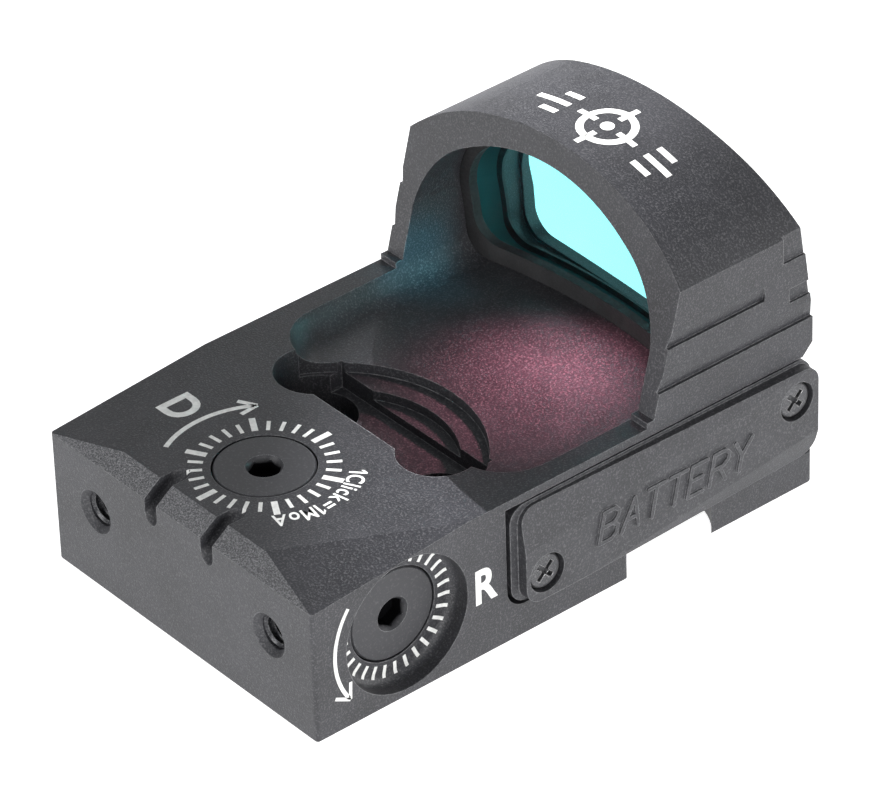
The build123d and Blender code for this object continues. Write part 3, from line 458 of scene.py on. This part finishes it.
def arrow_shapes(centre, radius, start, end, width, barb=1.25, open_angle=33):
    """A turning arrow: an arc with an open two-barb head at its end."""
    shapes = arc_shapes(centre, radius, start, end, width)
    tip_angle = radians(end)
    tip = Vector((centre[0] + radius * cos(tip_angle), centre[1] + radius * sin(tip_angle)))
    side = 1 if end > start else -1
    heading = tip_angle + side * (pi / 2 - 0.07)
    tip += Vector((cos(heading), sin(heading))) * width * 0.6
    for turn in (-open_angle, open_angle):
        back = heading + pi + radians(turn)
        shapes += bar_shapes([tip, (tip.x + barb * cos(back), tip.y + barb * sin(back))], width * 0.92, 2)
    return shapes


def scale_shapes(centre, inner, outer, long_outer, marks, first=0.0, long_every=5):
    """Ring of click marks; every long_every-th mark is longer and thicker."""
    shapes = []
    for k in range(marks.clicks):
        angle = radians(first + 360 / marks.clicks * k)
        is_long = long_every and k % long_every == 0
        end = long_outer if is_long else outer
        width = marks.thick_mm if is_long else marks.thin_mm
        line = [(centre[0] + r * cos(angle), centre[1] + r * sin(angle)) for r in (inner, end)]
        shapes += bar_shapes(line, width, 8)
    return shapes


def glyph_outline(text, stroke=0.0):
    """Flat mesh of a run of text at size 1, as (vertices, faces), with its own box from the font."""
    curve = bpy.data.curves.new("glyph", "FONT")
    curve.body = text
    curve.offset = stroke
    curve.resolution_u = 6
    holder = bpy.data.objects.new("glyph", curve)
    mesh = bpy.data.meshes.new_from_object(holder)
    verts = [(v.co.x, v.co.y) for v in mesh.vertices]
    faces = [list(p.vertices) for p in mesh.polygons]
    for block, thing in ((bpy.data.meshes, mesh), (bpy.data.objects, holder), (bpy.data.curves, curve)):
        block.remove(thing)
    return verts, faces


def boxed_letter(letter, u0, u1, v0, v1, stroke=0.02):
    """Faces of one letter stretched to a box."""
    verts, faces = glyph_outline(letter, stroke)
    lo = [min(v[i] for v in verts) for i in (0, 1)]
    hi = [max(v[i] for v in verts) for i in (0, 1)]
    fitted = [(u0 + (u - lo[0]) / (hi[0] - lo[0]) * (u1 - u0), v0 + (v - lo[1]) / (hi[1] - lo[1]) * (v1 - v0))
              for u, v in verts]
    return [part for face in faces for part in small_faces([fitted[i] for i in face])]


def small_faces(face, longest=0.4):
    """Cuts a triangle across its longest side until no side is longer than that, so it can follow a ridge."""
    sides = [hypot(face[i][0] - face[i - 1][0], face[i][1] - face[i - 1][1]) for i in range(len(face))]
    i = sides.index(max(sides))
    if len(face) != 3 or sides[i] <= longest:
        return [face]
    a, b, c = face[i - 1], face[i], face[i - 2]
    half = ((a[0] + b[0]) / 2, (a[1] + b[1]) / 2)
    return small_faces([a, half, c], longest) + small_faces([half, b, c], longest)


def flagged_one(verts, faces, run=0.16, fall=0.15, thick=0.12):
    """Adds the slanting flag that the plain font leaves off its figure one."""
    left, top = min(v[0] for v in verts), max(v[1] for v in verts)
    flag = [(left + 0.02, top), (left - run, top - fall), (left - run, top - fall - thick),
            (left + 0.02, top - thick)]
    return verts + flag, faces + [[len(verts) + i for i in range(4)]]


def legend_shapes(text, centre, inner, height, start, end, stroke=0.015, gap=0.11):
    """Letters set along an arc, clockwise from start to end degrees, tops outwards."""
    capital = max(v[1] for v in glyph_outline("M")[0])
    widths = []
    glyphs = []
    for letter in text:
        verts, faces = glyph_outline(letter, stroke)
        if letter == "1":
            verts, faces = flagged_one(verts, faces)
        low, high = min(v[0] for v in verts), max(v[0] for v in verts)
        glyphs.append((verts, faces, low, high))
        widths.append(high - low)
    size = height / capital
    arc = radians(abs(start - end)) * (inner + height * 0.35)
    narrow = (arc / size - gap * (len(text) - 1)) / sum(widths)
    shapes, run = [], 0.0
    for (verts, faces, low, high), wide in zip(glyphs, widths):
        wide *= narrow
        angle = radians(start) - (run + wide / 2) * size / (inner + height * 0.35)
        outward, along = (cos(angle), sin(angle)), (sin(angle), -cos(angle))
        placed = []
        for u, v in verts:
            a, r = (u - (low + high) / 2) * size * narrow, inner + v * size
            placed.append((centre[0] + along[0] * a + outward[0] * r,
                           centre[1] + along[1] * a + outward[1] * r))
        shapes += [[placed[i] for i in face] for face in faces]
        run += wide + gap
    return shapes


# ---------------------------------------------------------------- operators
class StepOperator:
    """What every step of the build shares."""
    bl_options = {"REGISTER", "UNDO"}

    def execute(self, context):
        self.make(context.scene.finder_colours, context.scene.finder_marks, context.scene.finder_studio)
        return {"FINISHED"}


class FINDER_OT_housing(StepOperator, bpy.types.Operator):
    """Bead-blasted black anodising on the housing and its bottom cover"""
    bl_idname = "finder.housing"
    bl_label = "Housing finish"

    def make(self, colours, marks, studio):
        block = metal_finish("anodised_housing", colours.anodise, colours.edge, speckle=rear_chamfer)
        wear(block, "housing")
        wear(metal_finish("anodised_cover", colours.anodise, colours.edge, grain=6400), "bottom_cover")


class FINDER_OT_tray(StepOperator, bpy.types.Operator):
    """Anodising of the battery tray, a little smoother than the housing"""
    bl_idname = "finder.tray"
    bl_label = "Tray finish"

    def make(self, colours, marks, studio):
        wear(metal_finish("anodised_tray", colours.tray, colours.edge, rough=(0.44, 0.6), grain=6600,
                          grain_depth=0.45), "battery_tray")


class FINDER_OT_dials(StepOperator, bpy.types.Operator):
    """Turned faces of both click dials"""
    bl_idname = "finder.dials"
    bl_label = "Dial finish"

    def make(self, colours, marks, studio):
        for title, axis in (("elevation", 2), ("windage", 0)):
            centre = [c * MM for c in node_middle(f"{title}_dial")]
            face = max(v.co[axis] for v in frame["nodes"][f"{title}_dial"].data.vertices)
            turned = turned_finish(f"turned_{title}", colours.dial, colours.edge, centre, axis, face)
            wear(turned, f"{title}_dial")


class FINDER_OT_screws(StepOperator, bpy.types.Operator):
    """Black oxide steel on the screws"""
    bl_idname = "finder.screws"
    bl_label = "Screw finish"

    def make(self, colours, marks, studio):
        # the grey is the colour of the flecks and of the painted highlight on sharp edges
        steel = metal_finish("black_oxide", colours.steel, (0.5, 0.5, 0.5), rough=(0.28, 0.45), grain=9000,
                             grain_depth=0.2, highlight_strength=1.0, metallic=0.55)
        wear(steel, "cover_screws", "tray_screw_rear", "tray_screw_front")


class FINDER_OT_rubber(StepOperator, bpy.types.Operator):
    """Rubber seals, gaskets and button caps"""
    bl_idname = "finder.rubber"
    bl_label = "Rubber finish"

    def make(self, colours, marks, studio):
        wear(rubber_finish("seal_rubber_black", colours.rubber), "lens_seal", "lens_bed", "elevation_o_ring",
             "windage_o_ring", "button_seals", "cover_gasket", "tray_gasket")
        wear(rubber_finish("button_soft", colours.button, (0.55, 0.75), 5200), "brightness_up_button",
             "brightness_down_button")


class FINDER_OT_glass(StepOperator, bpy.types.Operator):
    """Coated lens and the small emitter window"""
    bl_idname = "finder.glass"
    bl_label = "Glass finish"

    def make(self, colours, marks, studio):
        wear(glass_finish("coated_lens", colours.glass, colours.sheen, "Y", 1.52, 0.9), "lens")
        wear(glass_finish("window_glass_clear", (0.93, 0.93, 0.94), (1, 1, 1), "Y"), "emitter_window")


class FINDER_OT_works(StepOperator, bpy.types.Operator):
    """Inner works: stage, springs, board, cell and contacts"""
    bl_idname = "finder.works"
    bl_label = "Inner works"

    def make(self, colours, marks, studio):
        # pale, and the second colour given to each metal finish below, colour the flecks and the painted
        # highlight on sharp edges
        pale = (0.85, 0.85, 0.85)
        spring = metal_finish("spring_wire", colours.spring, pale, (0.22, 0.34), 6000, 0.1, 0.5, 1.0, 0.08)
        wear(spring, "elevation_clip", "windage_clip", "elevation_click_spring", "windage_click_spring",
             "guide_rod", "carriage_spring", "lift_spring", "switch_dome_up", "switch_dome_down",
             "stem_clip_up", "stem_clip_down")
        brass = metal_finish("machined_brass", colours.brass, (0.95, 0.8, 0.5), (0.24, 0.4), 3200, 0.15, 0.5,
                             1.0, 0.1)
        wear(brass, "elevation_nut", "windage_carriage")
        bronze = metal_finish("contact_leaf", colours.bronze, pale, (0.2, 0.34), 4200, 0.1, 0.5, 1.0, 0.1)
        wear(bronze, "edge_contact", "face_contact")
        plastic = rubber_finish("moulded_plastic", colours.plastic, (0.38, 0.55), 5000)
        wear(plastic, "emitter_block", "board_chips", "switch_bodies")
        wear(rubber_finish("solder_mask", colours.board, (0.25, 0.4), 1800), "circuit_board")
        wear(rubber_finish("diode_chip_red", colours.diode, (0.2, 0.35), 5000), "emitter_diode")
        plated = metal_finish("plated_can", colours.cell, pale, (0.22, 0.38), 2600, 0.08, 0.4, 1.0, 0.06)
        wear(plated, "coin_cell")


class FINDER_OT_deck_marks(StepOperator, bpy.types.Operator):
    """Elevation scale, letter, turning arrow and click legend on the deck"""
    bl_idname = "finder.deck_marks"
    bl_label = "Deck marks"

    def make(self, colours, marks, studio):
        x, y, _ = node_middle("elevation_dial")
        deck = Surface((x, y, DECK_Z_MM), (1, 0, 0), (0, 1, 0))
        paint = paint_finish("white_paint_deck", colours.paint)
        shapes = scale_shapes((0, 0), marks.deck_inner_mm, marks.deck_outer_mm, marks.deck_long_mm, marks, 30)
        shapes += arrow_shapes((0, 0), 7.1, 209.7, 147, marks.arrow_mm, 1.45)
        shapes += boxed_letter("D", -10.3, -8.0, -1.2, 1.55, 0.028)
        shapes += legend_shapes(marks.legend, (0, 0), 5.75, 1.2, 43.6, -34)
        piece = painted("deck_marks", deck, shapes, marks)
        piece.data.materials.append(paint)


class FINDER_OT_side_marks(StepOperator, bpy.types.Operator):
    """Windage scale in its well, letter and turning arrow on the right side"""
    bl_idname = "finder.side_marks"
    bl_label = "Side marks"

    def make(self, colours, marks, studio):
        _, y, z = node_middle("windage_dial")
        paint = paint_finish("white_paint_side", colours.paint)
        well = Surface((WELL_X_MM, y, z), (0, 1, 0), (0, 0, 1), 1.9)
        ticks = scale_shapes((0, 0), marks.side_inner_mm, marks.side_outer_mm, 0, marks, 6, 0)
        piece = painted("well_scale", well, ticks, marks)
        piece.data.materials.append(paint)
        side = Surface((SIDE_X_MM, y, z), (0, 1, 0), (0, 0, 1))
        shapes = arrow_shapes((0, 0), 6.17, 142.7, 214, marks.arrow_mm * 0.8, 1.4)
        shapes += boxed_letter("R", 5.85, 7.75, -1.45, 1.35, 0.028)
        piece = painted("side_marks", side, shapes, marks)
        piece.data.materials.append(paint)


class FINDER_OT_crown_mark(StepOperator, bpy.types.Operator):
    """Plain reticle sign on the crown of the hood"""
    bl_idname = "finder.crown_mark"
    bl_label = "Crown mark"

    def make(self, colours, marks, studio):
        crown = Surface(CROWN_MM, (1, 0, 0), (0, 1, 0))
        ring, stroke = 1.9, 0.55
        shapes = arc_shapes((0, 0), ring, 0, 360, stroke, 48)
        shapes += arc_shapes((0, 0), 0.26, 0, 360, 0.5, 16)
        for k in range(4):
            along = (cos(k * pi / 2), sin(k * pi / 2))
            ends = [(along[0] * r, along[1] * r) for r in (1.1, 2.85)]
            shapes += bar_shapes(ends, 0.46, 6)
        for side in (-1, 1):
            for v, near, far in ((1.2, 3.9, 5.5), (0, 3.9, 7.1), (-1.2, 3.9, 5.5)):
                shapes += bar_shapes([(side * near, v), (side * far, v)], 0.5, 8)
        piece = painted("crown_mark", crown, shapes, marks)
        piece.data.materials.append(paint_finish("white_paint_crown", colours.paint))


class FINDER_OT_threads(StepOperator, bpy.types.Operator):
    """Screw threads in the two rear holes"""
    bl_idname = "finder.threads"
    bl_label = "Hole threads"

    def make(self, colours, marks, studio):
        # the pale grey colours the flecks and the painted highlight on the thread's edges
        steel = metal_finish("cut_thread", colours.anodise, (0.55, 0.55, 0.56), (0.25, 0.4), 8000, 0.1, 1.0,
                             0.3)
        rear = CAD_BOX[0][1] / MM
        root, crest, turn_steps = 1.27, 1.04, 36
        turns = 6
        for name, x in (("thread_left", -HOLE_X_MM), ("thread_right", HOLE_X_MM)):
            mesh = bmesh.new()
            rows = []
            for k in range(turn_steps * turns + 1):
                angle = 2 * pi * k / turn_steps
                y = rear + 0.55 + marks.pitch_mm * k / turn_steps
                fade = min(1, k / 12, (turn_steps * turns - k) / 12)
                row = []
                for r, dy in ((root, -0.21), (root - (root - crest) * fade, -0.03),
                              (root - (root - crest) * fade, 0.03), (root, 0.21)):
                    row.append(mesh.verts.new(((x + r * cos(angle)) * MM, (y + dy) * MM,
                                               (HOLE_Z_MM + r * sin(angle)) * MM)))
                rows.append(row)
            for a, b in zip(rows, rows[1:]):
                for i in range(3):
                    mesh.faces.new((a[i], a[i + 1], b[i + 1], b[i]))
            finish_piece(name, mesh).data.materials.append(steel)


class FINDER_OT_studio(StepOperator, bpy.types.Operator):
    """Pale table top, soft lights and the camera"""
    bl_idname = "finder.studio"
    bl_label = "Studio"

    def make(self, colours, marks, studio):
        scene = bpy.context.scene
        scene.view_settings.view_transform = "Standard"
        self.floor(studio)
        self.room(scene, studio)
        self.lamp("key_softbox", (0.70, -0.22, 0.13), 0.34, 3.4)
        self.lamp("rear_softbox", (-0.12, -0.70, 0.15), 0.34, 3.0)
        self.lamp("rim_softbox", (-0.46, 0.50, 0.34), 0.24, 0.5)
        self.lamp("front_softbox", (0.30, 0.62, 0.12), 0.30, 2.6)
        self.glow("crown_spot", (-300, 360, 300), (-5, 16, 25), (1, 1, 1), 60.0, 3.6)
        self.glow("coating_glow", (2.5, 11.0, 20.0), (3.5, 7.0, 9.9), (1.0, 0.34, 0.44), 0.042, 96)
        self.glow("glass_glow", (0.0, 12.5, 15.0), (-12.3, 8.5, 11.8), (0.1, 0.80, 1.0), 0.014, 34)
        self.camera(scene, studio)

    def floor(self, studio):
        mesh = bmesh.new()
        bmesh.ops.create_grid(mesh, x_segments=1, y_segments=1, size=3.0)
        data = bpy.data.meshes.new("table_top")
        mesh.to_mesh(data)
        mesh.free()
        top = bpy.data.objects.new("table_top", data)
        top.location.z = -0.00003
        bpy.context.scene.collection.objects.link(top)
        finish, tree, shader = new_finish("lit_table")
        tone = spread(tree, noise(tree, place_in_model(tree), 6, 2.0), 0.3, 0.7, 0.80, 0.84)
        grey = put(tree, "CombineColor", [(i, tone) for i in range(3)]).outputs[0]
        tree.links.new(grey, shader.inputs["Base Color"])
        shader.inputs["Roughness"].default_value = 0.7
        shader.inputs["Emission Color"].default_value = (1, 1, 1, 1)
        shader.inputs["Emission Strength"].default_value = studio.floor_glow
        data.materials.append(finish)

    def room(self, scene, studio):
        world = bpy.data.worlds.new("studio_room")
        scene.world = world
        world.use_nodes = True
        back = world.node_tree.nodes["Background"]
        back.inputs[0].default_value = (0.96, 0.98, 1.0, 1)
        back.inputs[1].default_value = studio.sky

    def lamp(self, name, place, size, power):
        light = bpy.data.lights.new(name, "AREA")
        light.shape = "DISK"
        light.size = size
        light.energy = power
        holder = bpy.data.objects.new(name, light)
        holder.location = place
        holder.rotation_mode = "QUATERNION"
        holder.rotation_quaternion = (-Vector(place)).to_track_quat("-Z", "Y")
        bpy.context.scene.collection.objects.link(holder)

    def glow(self, name, place_mm, aim_mm, tint, power, cone):
        """Spot lamp aimed at one place, hidden from reflections: coating glows and crown light."""
        light = bpy.data.lights.new(name, "SPOT")
        light.energy = power
        light.color = tint
        light.spot_size = radians(cone)
        light.spot_blend = 1.0
        light.shadow_soft_size = 0.0012
        holder = bpy.data.objects.new(name, light)
        place, aim = Vector(place_mm) * MM, Vector(aim_mm) * MM
        holder.location = place
        holder.rotation_mode = "QUATERNION"
        holder.rotation_quaternion = (aim - place).to_track_quat("-Z", "Y")
        holder.visible_glossy = False
        holder.visible_transmission = False
        bpy.context.scene.collection.objects.link(holder)

    def camera(self, scene, studio):
        a, e, roll = radians(studio.azimuth), radians(studio.elevation), radians(studio.roll)
        back = Vector((sin(a) * cos(e), -cos(a) * cos(e), sin(e)))
        level = Vector((cos(a), sin(a), 0))
        rise = back.cross(level)
        right = level * cos(roll) + rise * sin(roll)
        up = rise * cos(roll) - level * sin(roll)
        data = bpy.data.cameras.new("studio_camera")
        data.lens = studio.lens_mm
        data.sensor_width = 36.0
        data.clip_start, data.clip_end = 0.01, 20.0
        holder = bpy.data.objects.new("studio_camera", data)
        aim = Vector(AIM_MM) * MM
        offset = right * SHIFT_RIGHT_MM * MM + up * SHIFT_UP_MM * MM
        turn = Matrix((right, up, back)).transposed().to_4x4()
        holder.matrix_world = Matrix.Translation(aim + back * studio.distance + offset) @ turn
        scene.collection.objects.link(holder)
        scene.camera = holder


STEPS = (FINDER_OT_studio, FINDER_OT_housing, FINDER_OT_tray, FINDER_OT_dials, FINDER_OT_screws,
         FINDER_OT_rubber, FINDER_OT_glass, FINDER_OT_works, FINDER_OT_deck_marks, FINDER_OT_side_marks,
         FINDER_OT_crown_mark, FINDER_OT_threads)
GROUPS = (("finder_colours", FinderColours), ("finder_marks", FinderMarks), ("finder_studio", FinderStudio))


class FINDER_PT_panel(bpy.types.Panel):
    """Steps and settings of the finder"""
    bl_idname = "FINDER_PT_panel"
    bl_label = "Red Dot Finder"
    bl_space_type = "VIEW_3D"
    bl_region_type = "UI"
    bl_category = "Finder"

    def draw(self, context):
        for step in STEPS:
            self.layout.operator(step.bl_idname)
        for attribute, group in GROUPS:
            column = self.layout.column()
            for key in group.__annotations__:
                column.prop(getattr(context.scene, attribute), key)


def register():
    for attribute, group in GROUPS:
        bpy.utils.register_class(group)
        setattr(bpy.types.Scene, attribute, PointerProperty(type=group))
    for item in (*STEPS, FINDER_PT_panel):
        bpy.utils.register_class(item)


def unregister():
    for item in (FINDER_PT_panel, *reversed(STEPS)):
        bpy.utils.unregister_class(item)
    for attribute, group in reversed(GROUPS):
        delattr(bpy.types.Scene, attribute)
        bpy.utils.unregister_class(group)


def main():
    register()
    for step in STEPS:
        space, call = step.bl_idname.split(".")
        result = getattr(getattr(bpy.ops, space), call)()
        if result != {"FINISHED"}:
            raise RuntimeError(f"{step.bl_label} did not finish")


if __name__ == "__main__":
    main()
